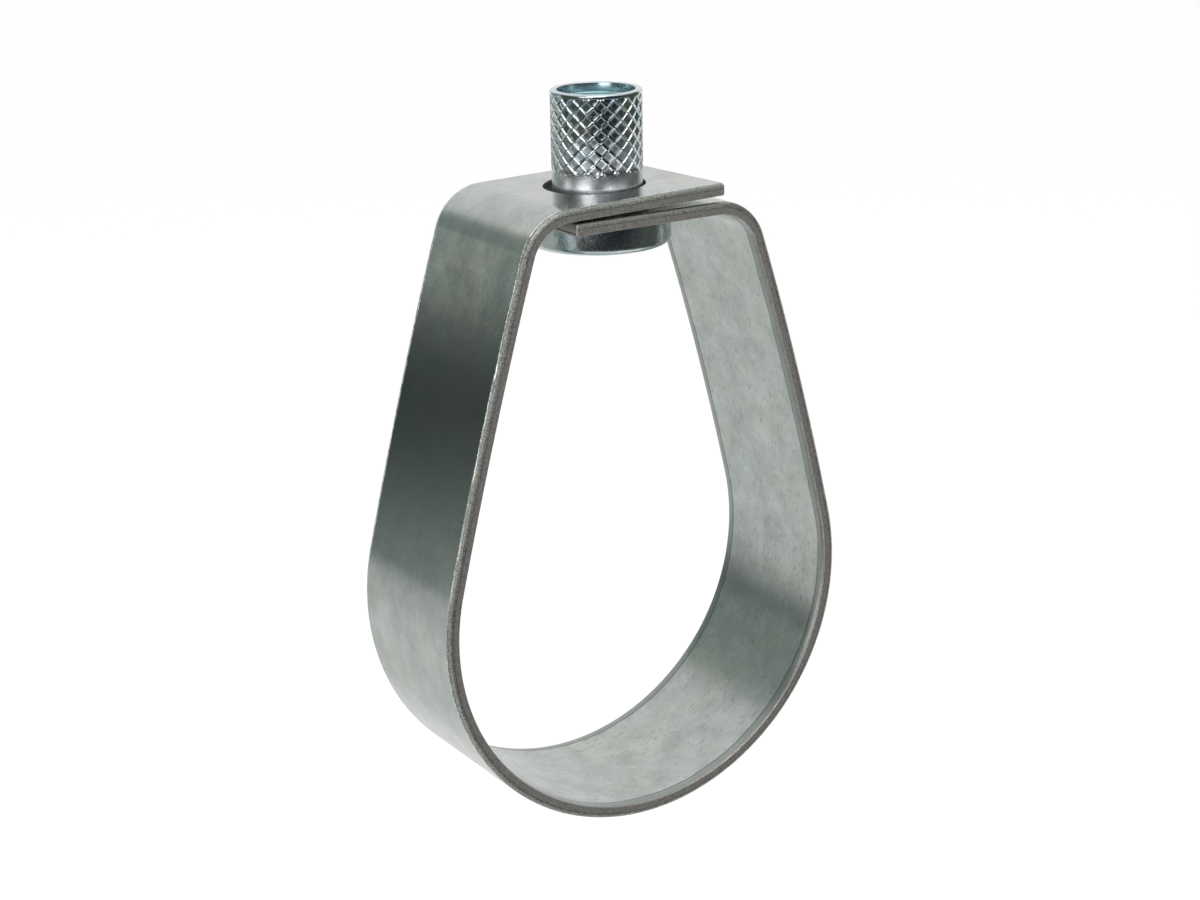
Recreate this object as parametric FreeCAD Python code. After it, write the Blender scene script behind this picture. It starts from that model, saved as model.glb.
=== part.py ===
import FreeCAD, Part
import math
import os

# Adjustable swivel ring pipe hanger: one folded steel band and one knurled insert nut.
# Origin at the centre of the ring that holds the pipe, halfway across the strip.
# +Z runs up the nut's axis, +Y along the pipe, +X across the loop. Millimetres and degrees.

# Pipe and ring
pipe_outside_diameter = 73.0
pipe_clearance = 1.25
tab_above_pipe = 29.45

# Strip
strip_width = 29.8
strip_thickness = 2.28
edge_break = 0.45
tab_corner_radius = 0.6

# Legs: how far each one leans in where it leaves the ring, how gently it bows outward,
# and how tightly it is bent over into its tab
left_leg_lean_angle = 13.8
left_leg_bow = 900.0
left_bend_radius = 7.1
right_leg_lean_angle = 13.2
right_leg_bow = 600.0
right_bend_radius = 7.5

# Tabs: the left leg's tab lies on top, springs up a little and is cut a little out of square
tab_gap = 0.56
upper_tab_rise_angle = 1.4
upper_tab_end_slant_angle = 5.0
upper_tab_margin = 7.2
lower_tab_margin = 4.9
upper_hole_shift = -0.65
hole_edge_break = 0.25

# Insert nut
rod_diameter = 9.525
thread_pitch = 1.5875
thread_clearance = 0.05
sleeve_wall = 3.04
sleeve_hole_clearance = 0.9
neck_undercut = 0.12
neck_height = 2.05
flange_overlap = 3.7
flange_thickness = 4.9
flange_edge_round = 1.2
nut_above_tab = 16.0
mouth_wall = 1.2
mouth_depth = 1.8
rim_height = 0.75
rim_chamfer = 0.4
small_chamfer = 0.2

# Diamond knurl: V-grooves rolled both ways into the sleeve, with flat-topped pads between them
knurl_pitch_across = 2.45
knurl_row_height = 1.2
knurl_depth = 0.35
knurl_groove_width = 0.7
land_set_back = 0.05

# Fixed shapes: how deep a unified thread is for its pitch, and the steps that draw a rounded edge
thread_depth_for_pitch = 5 / 8 * math.sqrt(3) / 2
rounding_steps = 4

# Ring and tabs, from the sizes above
ring_radius = pipe_outside_diameter / 2 + pipe_clearance
lower_tab_z = pipe_outside_diameter / 2 + tab_above_pipe
upper_tab_z = lower_tab_z + strip_thickness + tab_gap

# Nut and tab holes, from the sizes above
rod_radius = rod_diameter / 2
bore_radius = rod_radius - thread_depth_for_pitch * thread_pitch
lead_in_radius = rod_radius + thread_clearance
sleeve_radius = rod_radius + sleeve_wall
neck_radius = sleeve_radius - neck_undercut
mouth_radius = sleeve_radius - mouth_wall
hole_radius = sleeve_radius + sleeve_hole_clearance
flange_radius = hole_radius + flange_overlap
nut_top_z = upper_tab_z + strip_thickness + nut_above_tab
nut_bottom_z = lower_tab_z - flange_thickness
rim_low_z = nut_top_z - rim_height

# Knurl, from the sizes above
knurl_starts = round(2 * math.pi * sleeve_radius / knurl_pitch_across)
knurl_rows = round((nut_above_tab - rim_height - neck_height) / knurl_row_height)
knurl_low_z = rim_low_z - knurl_rows * knurl_row_height
land_radius = sleeve_radius - land_set_back
groove_radius = sleeve_radius - knurl_depth
core_radius = groove_radius - knurl_depth
groove_half_across = knurl_groove_width / math.sqrt(2)
land_across = 0.5 - groove_half_across * knurl_starts / (2 * math.pi * sleeve_radius)
land_down = 1 - groove_half_across / knurl_row_height

V = FreeCAD.Vector


def polar(centre, radius, angle):
    """The point this far from a centre, in the XZ plane."""
    return (centre[0] + radius * math.cos(angle), centre[1] + radius * math.sin(angle))


def on_side(side, point):
    """An XZ point on the +X half (side 1), or its mirror on the -X half (side -1)."""
    return V(side * point[0], -strip_width / 2, point[1])


def arc_edge(side, centre, radius, start, stop):
    """An arc of the strip's outline."""
    angles = (start, (start + stop) / 2, stop)
    points = [on_side(side, polar(centre, radius, angle)) for angle in angles]
    return Part.Arc(*points).toShape()


def half_outline(side, lean, bow, bend, tab_z, rise, reach, offset):
    """One half of the folded strip's outline, from the ring's lowest point to the tab's free end.

    The face followed lies this offset outside the strip's inner face. The leg is an arc of large
    radius, tangent to the ring below it and to the bend above it, and the tab is straight.
    """
    leave = math.radians(lean)
    level = math.radians(90 - rise)
    bow_centre = polar((0, 0), ring_radius - bow, leave)
    across = bow_centre[0] * math.cos(level) + (bow_centre[1] - tab_z) * math.sin(level)
    arrive = level - math.acos((-across - bend) / (bow - bend))
    bend_centre = polar(bow_centre, bow - bend, arrive)
    tab_start = polar(bend_centre, bend + offset, level)
    tab_length = (polar(bend_centre, bend, level)[0] + reach) / math.sin(level)
    tab_end = polar(tab_start, tab_length, level + math.pi / 2)
    edges = [
        arc_edge(side, (0, 0), ring_radius + offset, -math.pi / 2, leave),
        arc_edge(side, bow_centre, bow + offset, leave, arrive),
        arc_edge(side, bend_centre, bend + offset, arrive, level),
        Part.makeLine(on_side(side, tab_start), on_side(side, tab_end)),
    ]
    return edges, on_side(side, tab_end)


def folded_outline(upper_reach, lower_reach):
    """The whole strip seen along the pipe, as one closed wire."""
    upper_tab = (upper_tab_z, upper_tab_rise_angle, upper_reach)
    left = (-1, left_leg_lean_angle, left_leg_bow, left_bend_radius) + upper_tab
    right = (1, right_leg_lean_angle, right_leg_bow, right_bend_radius, lower_tab_z, 0, lower_reach)
    edges = []
    for half in (left, right):
        inner, inner_end = half_outline(*half, 0)
        outer, outer_end = half_outline(*half, strip_thickness)
        edges += inner + outer
        edges.append(Part.makeLine(inner_end, outer_end))
    return Part.Wire(Part.__sortEdges__(edges))


def past_upper_tab(reach):
    """What the slanting cut takes off the upper tab: everything past its free end."""
    near_corner = V(reach, -strip_width / 2, upper_tab_z - tab_gap / 2)
    block = Part.makeBox(hole_radius, 3 * strip_width, 4 * strip_thickness)
    block.translate(near_corner - V(0, strip_width, 0))
    block.rotate(near_corner, V(0, 0, 1), upper_tab_end_slant_angle)
    return block


def sharp_edges(solid):
    """The edges where two faces meet at a corner, not where one runs smoothly into the next."""
    found = []
    for edge in solid.Edges:
        faces = solid.ancestorsOfType(edge, Part.Face)
        middle = edge.valueAt((edge.FirstParameter + edge.LastParameter) / 2)
        normals = [face.normalAt(*face.Surface.parameter(middle)) for face in faces]
        if len(normals) == 2 and abs(normals[0].dot(normals[1])) < 0.5:
            found.append(edge)
    return found


def tab_end_corners(solid):
    """The short edges that stand through the strip's thickness at the two free ends."""
    straight = [edge for edge in solid.Edges if isinstance(edge.Curve, Part.Line)]
    return [edge for edge in straight if edge.Length < 1.5 * strip_thickness]


def circles(solid, radius):
    """The circular edges of this radius."""
    round_edges = [edge for edge in solid.Edges if isinstance(edge.Curve, Part.Circle)]
    return [edge for edge in round_edges if abs(edge.Curve.Radius - radius) < 1e-6]


def tab_hole(x, z, rise):
    """A punch that stands square to its tab and goes through that tab alone."""
    direction = V(-math.sin(math.radians(rise)), 0, math.cos(math.radians(rise)))
    start = V(x, 0, z + x * math.tan(math.radians(rise))) - direction * (tab_gap / 2)
    return Part.makeCylinder(hole_radius, strip_thickness + tab_gap, start, direction)


def ring_band():
    """One strip folded into a loop, with its two tabs lapped over each other at the top."""
    upper_reach = hole_radius + upper_tab_margin
    lower_reach = hole_radius + lower_tab_margin
    outline = Part.Face(folded_outline(upper_reach + strip_thickness, lower_reach))
    band = outline.extrude(V(0, strip_width, 0)).cut(past_upper_tab(upper_reach))
    band = band.makeFillet(tab_corner_radius, tab_end_corners(band))
    band = band.makeChamfer(edge_break, sharp_edges(band))
    band = band.cut(tab_hole(upper_hole_shift, upper_tab_z, upper_tab_rise_angle))
    band = band.cut(tab_hole(0, lower_tab_z, 0))
    return band.makeChamfer(hole_edge_break, circles(band, hole_radius))


def turned(corners):
    """A solid of revolution about the Z axis through radius and height corners."""
    points = [V(radius, 0, height) for radius, height in corners]
    return Part.Face(Part.makePolygon(points + points[:1])).revolve(V(0, 0, 0), V(0, 0, 1), 360)


def nut_outside():
    """The nut without its bore or knurl: flange, neck, core under the knurl, and rim."""
    round_centre = (flange_radius - flange_edge_round, nut_bottom_z + flange_edge_round)
    lower_edge = []
    for step in range(rounding_steps + 1):
        turn = math.pi / 2 * (step / rounding_steps - 1)
        lower_edge.append(polar(round_centre, flange_edge_round, turn))
    corners = [
        (0, nut_bottom_z),
        *lower_edge,
        (flange_radius, lower_tab_z),
        (neck_radius + small_chamfer, lower_tab_z),
        (neck_radius, lower_tab_z + small_chamfer),
        (neck_radius, knurl_low_z),
        (core_radius, knurl_low_z),
        (core_radius, rim_low_z),
        (sleeve_radius, rim_low_z),
        (sleeve_radius, nut_top_z - rim_chamfer),
        (sleeve_radius - rim_chamfer, nut_top_z),
        (0, nut_top_z),
    ]
    return turned(corners)


def nut_bore():
    """What is hollow inside the nut: the thread's minor diameter, its lead-ins and the wide mouth."""
    lead_in_height = lead_in_radius - bore_radius
    ledge_z = nut_top_z - mouth_depth
    corners = [
        (0, nut_bottom_z),
        (lead_in_radius, nut_bottom_z),
        (bore_radius, nut_bottom_z + lead_in_height),
        (bore_radius, ledge_z - lead_in_height),
        (lead_in_radius, ledge_z),
        (mouth_radius, ledge_z),
        (mouth_radius, nut_top_z - small_chamfer),
        (mouth_radius + small_chamfer, nut_top_z),
        (0, nut_top_z),
    ]
    return turned(corners)


def on_sleeve(start, row, radius):
    """A point of the knurl: starts are counted round the sleeve and rows down from the rim."""
    angle = 2 * math.pi * start / knurl_starts
    return V(radius * math.cos(angle), radius * math.sin(angle), rim_low_z - row * knurl_row_height)


def triangle(*corners):
    """A three-cornered face."""
    return Part.Face(Part.makePolygon(corners + corners[:1]))


def quarter_pad(start, row, across, down):
    """A quarter of one pad: its share of the flat land, and the flank that falls to the groove."""
    middle = on_sleeve(start, row, land_radius)
    land_side = on_sleeve(start + across * land_across, row, land_radius)
    land_tip = on_sleeve(start, row + down * land_down, land_radius)
    foot_side = on_sleeve(start + across / 2, row, groove_radius)
    foot_tip = on_sleeve(start, row + down, groove_radius)
    land = triangle(middle, land_side, land_tip)
    flank = [triangle(land_side, foot_side, foot_tip), triangle(land_side, foot_tip, land_tip)]
    return [land] + flank


def knurl_section(row):
    """The knurl cut flat across the middle of a row of pads, as a face."""
    points = []
    for start in range(knurl_starts):
        pad = start + row % 2 / 2
        points.append(on_sleeve(pad - 0.5, row, groove_radius))
        for across in (-land_across, 0, land_across):
            points.append(on_sleeve(pad + across, row, land_radius))
    return Part.Face(Part.makePolygon(points + points[:1]))


def knurl():
    """A solid slug whose side is the whole knurl, from the rim down to the neck."""
    faces = [knurl_section(0), knurl_section(knurl_rows)]
    for row in range(knurl_rows + 1):
        ways = [down for down in (-1, 1) if 0 <= row + down <= knurl_rows]
        for start in range(knurl_starts):
            for across in (-1, 1):
                for down in ways:
                    faces += quarter_pad(start + row % 2 / 2, row, across, down)
    shell = Part.Shell(faces)
    shell.sewShape()
    return Part.Solid(shell)


def swivel_nut():
    """The insert nut that the rod screws into, and that the band turns on."""
    return nut_outside().fuse(knurl()).cut(nut_bore()).removeSplitter()


os.makedirs("parts", exist_ok=True)
for name, shape in (("ring_band", ring_band()), ("swivel_nut", swivel_nut())):
    solid = shape.Solids[0]
    print(name, "valid", shape.isValid(), "solids", len(shape.Solids), "volume", round(solid.Volume, 1))
    solid.exportStep("parts/" + name + ".step")
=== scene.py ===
import bmesh
import bpy
import math
from mathutils import Matrix, Vector, kdtree


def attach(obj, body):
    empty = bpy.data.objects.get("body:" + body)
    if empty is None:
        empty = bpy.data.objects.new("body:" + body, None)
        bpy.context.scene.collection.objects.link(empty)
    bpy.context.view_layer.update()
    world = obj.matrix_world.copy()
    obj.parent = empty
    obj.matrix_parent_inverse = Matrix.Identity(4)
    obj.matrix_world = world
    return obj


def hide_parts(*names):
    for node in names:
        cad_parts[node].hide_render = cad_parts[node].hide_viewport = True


# An adjustable swivel ring pipe hanger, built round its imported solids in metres.
# +Z runs up the nut's axis, +Y along the pipe, and the ring's centre is the origin.

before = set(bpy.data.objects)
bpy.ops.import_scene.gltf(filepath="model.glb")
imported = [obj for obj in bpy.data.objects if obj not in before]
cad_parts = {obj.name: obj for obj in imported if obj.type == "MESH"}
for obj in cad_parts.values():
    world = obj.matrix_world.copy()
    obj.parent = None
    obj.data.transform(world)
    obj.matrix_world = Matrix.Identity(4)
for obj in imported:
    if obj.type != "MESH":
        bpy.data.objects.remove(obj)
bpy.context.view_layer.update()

# Band shape. The real band is one strip of hot-dip galvanised mild steel, slit to width, punched
# near both ends and folded round a former into a pear-shaped loop. Its two ends lap at the top as
# flat tabs, the left leg's tab over the right leg's.
MM = 0.001
strip_width = 29.8 * MM
strip_thickness = 2.28 * MM
ring_radius = 37.75 * MM
left_lean = math.radians(13.8)
left_bow = 900.0 * MM
left_bend = 7.1 * MM
right_lean = math.radians(13.2)
right_bow = 600.0 * MM
right_bend = 7.5 * MM
lower_tab_z = 65.95 * MM
upper_tab_z = 68.79 * MM
upper_rise = math.radians(1.4)
upper_reach = 15.9025 * MM
lower_reach = 13.6025 * MM
end_slant = math.radians(5.0)
hole_radius = 8.7025 * MM
hole_shift = -0.65 * MM
ring_arc_steps = 72
leg_steps = 16
bend_steps = 24


def polar(centre, radius, angle):
    """The point this far from a centre, in the XZ plane."""
    return (centre[0] + radius * math.cos(angle), centre[1] + radius * math.sin(angle))


def half_path(lean, bow, bend, tab_z, rise, reach):
    """The strip's inner face from the ring's lowest point up to the tab's free end, at +X."""
    level = math.pi / 2 - rise
    bow_centre = polar((0, 0), ring_radius - bow, lean)
    across = bow_centre[0] * math.cos(level) + (bow_centre[1] - tab_z) * math.sin(level)
    arrive = level - math.acos((-across - bend) / (bow - bend))
    bend_centre = polar(bow_centre, bow - bend, arrive)
    tab_start = polar(bend_centre, bend, level)
    tab_length = (tab_start[0] + reach) / math.sin(level)
    arcs = (
        ((0, 0), ring_radius, -math.pi / 2, lean, ring_arc_steps),
        (bow_centre, bow, lean, arrive, leg_steps),
        (bend_centre, bend, arrive, level, bend_steps),
    )
    points = []
    for centre, radius, start, stop, steps in arcs:
        for step in range(steps):
            points.append(polar(centre, radius, start + (stop - start) * step / steps))
    points.append(tab_start)
    points.append(polar(tab_start, tab_length, level + math.pi / 2))
    return points


left_end = upper_reach + strip_thickness
left_half = half_path(left_lean, left_bow, left_bend, upper_tab_z, upper_rise, left_end)
right_half = half_path(right_lean, right_bow, right_bend, lower_tab_z, 0.0, lower_reach)
path_points = [Vector((-x, 0, z)) for x, z in reversed(left_half)]
path_points += [Vector((x, 0, z)) for x, z in right_half[1:]]

# Band section. Slitting rolls the strip's inner corners over in a long shallow slope and leaves a
# dull, upright cut face, and tumbling rounds the outer corners. The slope's corners are given as
# how far each lies in from the strip's side and how far below its inner face, in millimetres.
half_width = strip_width / 2
slope_corners = (
    (1.75, 0.0),
    (1.25, 0.02),
    (0.80, 0.05),
    (0.45, 0.10),
    (0.20, 0.16),
    (0.05, 0.23),
    (0.0, 0.33),
)
outer_round = 0.83 * MM
outer_round_steps = 6

edge_section = [(back * MM, down * MM) for back, down in slope_corners]
for step in range(outer_round_steps + 1):
    turn = math.pi / 2 * step / outer_round_steps
    back = outer_round * (1 - math.cos(turn))
    edge_section.append((back, strip_thickness - outer_round * (1 - math.sin(turn))))
section_points = [Vector((back - half_width, -down, 0)) for back, down in edge_section]
section_points += [Vector((half_width - back, -down, 0)) for back, down in reversed(edge_section)]


def line_object(name, points, closed):
    """A chain of edges through these points, as an object."""
    edges = [(i, i + 1) for i in range(len(points) - 1)]
    if closed:
        edges.append((len(points) - 1, 0))
    mesh = bpy.data.meshes.new(name)
    mesh.from_pydata(points, edges, [])
    made = bpy.data.objects.new(name, mesh)
    bpy.context.scene.collection.objects.link(made)
    return made


def add(tree, kind, inputs=None, **settings):
    """Adds a node with these settings, and sets or links its inputs, each given by number or name.

    A value may be a plain value, another node's socket, or a node, which stands for its first output.
    A Map Range's inputs 0 to 4 are the value, the range it comes from and the range it goes to. A Mix
    goes from 2 to 3 by the share in 0, and for colours from 6 to 7, with the colour in its output 2.
    """
    node = tree.nodes.new(kind)
    for name, value in settings.items():
        setattr(node, name, value)
    for name, value in (inputs or {}).items():
        if isinstance(value, bpy.types.Node):
            value = value.outputs[0]
        if isinstance(value, bpy.types.NodeSocket):
            tree.links.new(value, node.inputs[name])
        else:
            node.inputs[name].default_value = value
    return node


def shape_tree(name, sizes):
    """An empty geometry tree with named inputs, and its input node."""
    tree = bpy.data.node_groups.new(name, "GeometryNodeTree")
    tree.interface.new_socket("Geometry", in_out="INPUT", socket_type="NodeSocketGeometry")
    tree.interface.new_socket("Geometry", in_out="OUTPUT", socket_type="NodeSocketGeometry")
    for label, kind in sizes:
        tree.interface.new_socket(label, in_out="INPUT", socket_type="NodeSocket" + kind)
    return tree, add(tree, "NodeGroupInput")


def grow(carrier, tree, values):
    """Runs a geometry tree on a carrier and gives the result as a plain mesh, without the carrier."""
    modifier = carrier.modifiers.new(tree.name, "NODES")
    modifier.node_group = tree
    for socket in tree.interface.items_tree:
        if socket.in_out == "INPUT" and socket.name in values:
            modifier[socket.identifier] = values[socket.name]
    bpy.context.view_layer.update()
    evaluated = carrier.evaluated_get(bpy.context.evaluated_depsgraph_get())
    mesh = bpy.data.meshes.new_from_object(evaluated)
    bpy.data.objects.remove(carrier)
    return mesh


# Galvanised strip. Hot-dip zinc rolled thin, then handled: a satin, slightly greenish grey with soft
# blotches, faint streaks along the strip and a few small dark specks. Its cut edges are dull and
# warm, and a broken painted highlight runs along the burr where the face turns over into them.
def hex_colour(text):
    """An sRGB hex colour as linear red, green, blue and alpha."""
    parts = [int(text[i:i + 2], 16) / 255 for i in (0, 2, 4)]
    return tuple(c / 12.92 if c <= 0.04045 else ((c + 0.055) / 1.055) ** 2.4 for c in parts) + (1.0,)


def thin_line(tree, distance, centre, core, reach, share):
    """How much of a thin line covers each point: its whole share at the core, and none past its reach."""
    off = add(tree, "ShaderNodeMath", {0: distance, 1: centre}, operation="SUBTRACT")
    off = add(tree, "ShaderNodeMath", {0: off}, operation="ABSOLUTE")
    return add(tree, "ShaderNodeMapRange", {0: off, 1: core, 2: reach, 3: share, 4: 0.0})


# Sizes of the zinc's patterns, each as so many to ten millimetres of the real strip. Its grit is finer
# still, and grain and dust are drawn just coarse enough to show. Rolling draws the streaks and dashes
# out along the strip, which runs in X and Z.
streak_size = 10 * MM / 7
dash_size = 10 * MM / 26
blotch_size = 10 * MM / 1.7
tint_size = 10 * MM / 0.95
spangle_size = 10 * MM / 4.2
grain_size = 10 * MM / 42
dust_size = 10 * MM / 90
burr_break_size = 10 * MM / 14
rolling_stretch = (0.3, 1.0, 0.3)

# Where the strip's edge changes, measured in from its side, and how far the wavy lines stray in all
side_face = 0.17 * MM
inner_corner = 0.21 * MM
outer_corner = 0.57 * MM
corner_blur = 0.05 * MM
inner_burr = 0.30 * MM
outer_burr = 0.86 * MM
slope_width = 1.70 * MM
slope_blur = 0.10 * MM
crease_place = 1.75 * MM
waviness = 0.5 * MM

# How far below the inner face the bare shear ends, with its dark lip, in millimetres as depth_mm is
bare_depth = 1.48
bare_blur = 0.04
lip_depth = 1.50

galvanised = bpy.data.materials.new("hot_dip_galvanised_steel_strip")
galvanised.use_nodes = True
tree = galvanised.node_tree
tree.nodes.clear()
place = add(tree, "ShaderNodeTexCoord").outputs["Object"]
along = add(tree, "ShaderNodeVectorMath", {0: place, 1: rolling_stretch}, operation="MULTIPLY")
streaks = add(tree, "ShaderNodeTexNoise", {"Vector": along, "Scale": 1 / streak_size, "Detail": 3.0})
dashes = add(tree, "ShaderNodeTexNoise", {"Vector": along, "Scale": 1 / dash_size, "Detail": 1.0})
blotches = add(tree, "ShaderNodeTexNoise", {
    "Vector": place,
    "Scale": 1 / blotch_size,
    "Detail": 6.0,
    "Roughness": 0.7,
})
tints = add(tree, "ShaderNodeTexNoise", {"Vector": place, "Scale": 1 / tint_size, "Detail": 3.0})
spangle = add(tree, "ShaderNodeTexVoronoi", {"Vector": place, "Scale": 1 / spangle_size})
grain = add(tree, "ShaderNodeTexNoise", {"Vector": place, "Scale": 1 / grain_size, "Detail": 2.0})
grit = add(tree, "ShaderNodeMapRange", {0: grain, 1: 0.36, 2: 0.66, 3: 0.0, 4: 1.0})
dust = add(tree, "ShaderNodeTexNoise", {"Vector": place, "Scale": 1 / dust_size, "Detail": 0.0})
inner = add(tree, "ShaderNodeAttribute", attribute_name="inner_face").outputs["Fac"]
cut = add(tree, "ShaderNodeAttribute", attribute_name="cut_face").outputs["Fac"]
depth = add(tree, "ShaderNodeAttribute", attribute_name="depth_mm").outputs["Fac"]
cell = add(tree, "ShaderNodeSeparateColor", {0: spangle.outputs["Color"]})

# The zinc's own colour: darker and lighter patches, cooler and warmer ones, and dashes inside the loop
blend = blotches
for pattern, share in ((streaks, 0.12), (cell, 0.06), (grit, 0.08), (dust, 0.3)):
    blend = add(tree, "ShaderNodeMath", {0: pattern, 1: share, 2: blend}, operation="MULTIPLY_ADD")
blend = add(tree, "ShaderNodeMapRange", {0: blend, 1: 0.56, 2: 0.98, 3: 0.0, 4: 1.0})
cool = add(tree, "ShaderNodeMapRange", {0: tints, 1: 0.35, 2: 0.65, 3: 0.0, 4: 1.0})
light = {0: cool, 6: hex_colour("CBCCC4"), 7: hex_colour("C5CCCD")}
light = add(tree, "ShaderNodeMix", light, data_type="RGBA")
zinc = {0: blend, 6: hex_colour("A8AEAB"), 7: light.outputs[2]}
zinc = add(tree, "ShaderNodeMix", zinc, data_type="RGBA")
dashed = add(tree, "ShaderNodeMapRange", {0: dashes, 1: 0.62, 2: 0.74, 3: 0.0, 4: 0.5})
dashed = add(tree, "ShaderNodeMath", {0: dashed, 1: inner}, operation="MULTIPLY")
zinc = {0: dashed, 6: zinc.outputs[2], 7: hex_colour("777C77")}
zinc = add(tree, "ShaderNodeMix", zinc, data_type="RGBA")

# How far a point lies in from the strip's side, plain and a little wavy, and how deep, a little uneven
across = add(tree, "ShaderNodeSeparateXYZ", {0: place}).outputs["Y"]
across = add(tree, "ShaderNodeMath", {0: across}, operation="ABSOLUTE")
from_side = add(tree, "ShaderNodeMath", {0: half_width, 1: across}, operation="SUBTRACT")
wave = {0: blotches, 1: waviness, 2: -waviness / 2}
wave = add(tree, "ShaderNodeMath", wave, operation="MULTIPLY_ADD")
wavy = add(tree, "ShaderNodeMath", {0: from_side, 1: wave}, operation="ADD")
uneven = add(tree, "ShaderNodeMath", {0: grain, 1: 0.3, 2: depth}, operation="MULTIPLY_ADD")

# Dull corners and tab ends, and the sheared faces: bare next to the inner face, up to the dark lip
outer_dull = {0: wavy, 1: outer_corner - corner_blur, 2: outer_corner + corner_blur, 3: 1.0, 4: 0.0}
outer_dull = add(tree, "ShaderNodeMapRange", outer_dull)
inner_dull = {0: from_side, 1: inner_corner - corner_blur, 2: inner_corner + corner_blur, 3: 1.0, 4: 0.0}
inner_dull = add(tree, "ShaderNodeMapRange", inner_dull)
side_dull = add(tree, "ShaderNodeMix", {0: inner, 2: outer_dull, 3: inner_dull})
end_dull = add(tree, "ShaderNodeMapRange", {0: cut, 1: 0.15, 2: 0.5, 3: 0.0, 4: 1.0})
dull = add(tree, "ShaderNodeMath", {0: side_dull, 1: end_dull}, operation="MAXIMUM")
side = {0: from_side, 1: side_face - corner_blur, 2: side_face + corner_blur, 3: 1.0, 4: 0.0}
side = add(tree, "ShaderNodeMapRange", side)
end_face = add(tree, "ShaderNodeMapRange", {0: cut, 1: 0.75, 2: 0.95, 3: 0.0, 4: 1.0})
sheared = add(tree, "ShaderNodeMath", {0: side, 1: end_face}, operation="MAXIMUM")
below = {0: uneven, 1: bare_depth - bare_blur, 2: bare_depth + bare_blur, 3: 1.0, 4: 0.0}
below = add(tree, "ShaderNodeMapRange", below)
bare = add(tree, "ShaderNodeMath", {0: sheared, 1: below}, operation="MULTIPLY")
lip = thin_line(tree, uneven, lip_depth, core=0.03, reach=0.12, share=0.4)
lip = add(tree, "ShaderNodeMath", {0: lip, 1: sheared}, operation="MULTIPLY")
not_end = add(tree, "ShaderNodeMath", {0: 1.0, 1: end_dull}, operation="SUBTRACT")

# The inner face's rolled slope and crease in painted shade, and the burr's broken painted highlight
# Painted shade: the rolled slope is coloured darker, as its tilted face would be shaded
slope = {0: wavy, 1: slope_width - slope_blur, 2: slope_width + slope_blur, 3: 0.6, 4: 0.0}
slope = add(tree, "ShaderNodeMapRange", slope)
slope = add(tree, "ShaderNodeMath", {0: slope, 1: inner}, operation="MULTIPLY")
# Painted shade: a thin dark line along the crease where the slope starts
crease = thin_line(tree, wavy, crease_place, core=0.06 * MM, reach=0.20 * MM, share=0.8)
crease = add(tree, "ShaderNodeMath", {0: crease, 1: inner}, operation="MULTIPLY")
# Painted highlight: a broken near-white line along the burr, over the real raised burr in the height
burr_place = add(tree, "ShaderNodeMix", {0: inner, 2: outer_burr, 3: inner_burr})
burr_and_highlight = thin_line(tree, wavy, burr_place, core=0.04 * MM, reach=0.14 * MM, share=1.0)
broken = add(tree, "ShaderNodeTexNoise", {"Vector": place, "Scale": 1 / burr_break_size, "Detail": 2.0})
broken = add(tree, "ShaderNodeMapRange", {0: broken, 1: 0.40, 2: 0.58, 3: 0.3, 4: 1.0})
burr_and_highlight = add(tree, "ShaderNodeMath", {0: burr_and_highlight, 1: broken}, operation="MULTIPLY")
burr_and_highlight = add(tree, "ShaderNodeMath", {0: burr_and_highlight, 1: not_end}, operation="MULTIPLY")
softer = add(tree, "ShaderNodeMath", {0: inner, 1: -0.7, 2: 1.0}, operation="MULTIPLY_ADD")
burr_and_highlight = add(tree, "ShaderNodeMath", {0: burr_and_highlight, 1: softer}, operation="MULTIPLY")

# Colour, laid on in turn from the zinc to the burr's painted highlight
mottled = {0: grit, 6: hex_colour("74776F"), 7: hex_colour("B0B2AC")}
mottled = add(tree, "ShaderNodeMix", mottled, data_type="RGBA")
steel = {0: grit, 6: hex_colour("96938F"), 7: hex_colour("BCB8B4")}
steel = add(tree, "ShaderNodeMix", steel, data_type="RGBA")
colour = zinc
for share, laid_on in (
    (slope, hex_colour("868E8A")),
    (crease, hex_colour("5E6361")),
    (dull, mottled.outputs[2]),
    (bare, steel.outputs[2]),
    (lip, hex_colour("5A5855")),
    (burr_and_highlight, hex_colour("EEF1F0")),
):
    layers = {0: share, 6: colour.outputs[2], 7: laid_on}
    colour = add(tree, "ShaderNodeMix", layers, data_type="RGBA")

# Roughness: satin zinc, duller inside the loop and on the slope, and matt where the steel is cut
satin = add(tree, "ShaderNodeMapRange", {0: blend, 1: 0.0, 2: 1.0, 3: 0.20, 4: 0.155})
satin = add(tree, "ShaderNodeMath", {0: inner, 1: 0.07, 2: satin}, operation="MULTIPLY_ADD")
rough = add(tree, "ShaderNodeMath", {0: slope, 1: 0.1, 2: satin}, operation="MULTIPLY_ADD")
for share, matt in ((dull, 0.48), (bare, 0.5), (burr_and_highlight, 0.3)):
    rough = add(tree, "ShaderNodeMix", {0: share, 2: rough, 3: matt})

# Height in millimetres: fine pits, deeper on the cut edges, soft dents, and the raised burr
pits = add(tree, "ShaderNodeMath", {0: dull, 1: 0.03, 2: 0.005}, operation="MULTIPLY_ADD")
height = add(tree, "ShaderNodeMath", {0: grain, 1: pits}, operation="MULTIPLY")
height = add(tree, "ShaderNodeMath", {0: blotches, 1: 0.012, 2: height}, operation="MULTIPLY_ADD")
height = add(tree, "ShaderNodeMath", {0: burr_and_highlight, 1: 0.07, 2: height}, operation="MULTIPLY_ADD")
bump = add(tree, "ShaderNodeBump", {"Strength": 1.0, "Distance": MM, "Height": height})
surface = add(tree, "ShaderNodeBsdfPrincipled", {
    "Base Color": colour.outputs[2],
    "Metallic": 1.0,
    "Roughness": rough,
    "Normal": bump,
})
add(tree, "ShaderNodeOutputMaterial", {"Surface": surface})

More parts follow.
